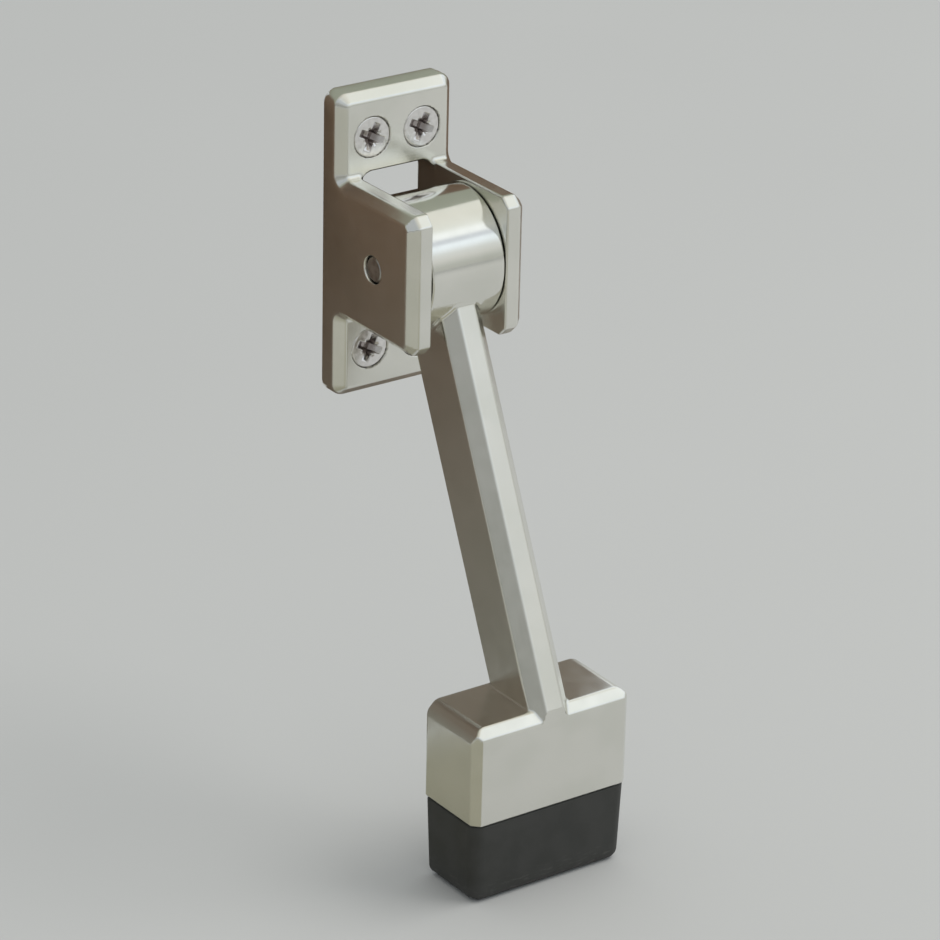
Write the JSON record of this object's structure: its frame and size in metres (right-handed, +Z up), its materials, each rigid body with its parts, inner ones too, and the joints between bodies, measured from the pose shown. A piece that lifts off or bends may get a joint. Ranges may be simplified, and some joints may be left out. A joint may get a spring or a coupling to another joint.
{
  "type": "floor door holder",
  "caption": "Kick-down door holder: a screwed-on bracket with two ears carries a folding lever arm that ends in a rubber-soled foot.",
  "frame": {"origin": "on the door's face, midway between the two upper mounting screws", "axes": "+X to the right seen from the room, +Y into the door, +Z up"},
  "size_m": [0.0374, 0.073, 0.1488],
  "materials": {
    "satin_nickel": "satin nickel plating on a zinc casting",
    "polished_steel": "polished",
    "pin_steel": "plain steel",
    "bush_bronze": "sintered bronze",
    "nylon": "matte",
    "rubber": "matte black"
  },
  "bodies": {
    "bracket": {"mount_bracket": "satin_nickel", "pivot_pin": "pin_steel", "thrust_washer_left": "nylon", "thrust_washer_right": "nylon", "mounting_screw_upper_left": "polished_steel", "mounting_screw_upper_right": "polished_steel", "mounting_screw_lower_left": "polished_steel", "mounting_screw_lower_right": "polished_steel"},
    "arm": {"lever_arm": "satin_nickel", "hub_bush_left": "bush_bronze", "hub_bush_right": "bush_bronze", "detent_spring": "pin_steel", "rubber_foot": "rubber", "foot_insert_plate": "pin_steel", "foot_screw_left": "polished_steel", "foot_screw_right": "polished_steel", "lock_washer_left": "pin_steel", "lock_washer_right": "pin_steel"},
    "ball_left": {"detent_ball_left": "polished_steel"},
    "ball_right": {"detent_ball_right": "polished_steel"}
  },
  "joints": [
    {"name": "arm_fold", "type": "hinge", "parent": "bracket", "child": "arm", "pos_m": [0, -0.0175, -0.022], "axis": [-1, 0, 0], "range_deg": [-20, 155.8]},
    {"name": "ball_left_travel", "type": "slide", "parent": "arm", "child": "ball_left", "axis": [1, 0, 0], "range_m": [0, 0.0005], "stiffness_N_per_m": 1500, "deforming": ["detent_spring"]},
    {"name": "ball_right_travel", "type": "slide", "parent": "arm", "child": "ball_right", "axis": [-1, 0, 0], "range_m": [0, 0.0005], "stiffness_N_per_m": 1500, "deforming": ["detent_spring"]}
  ]
}
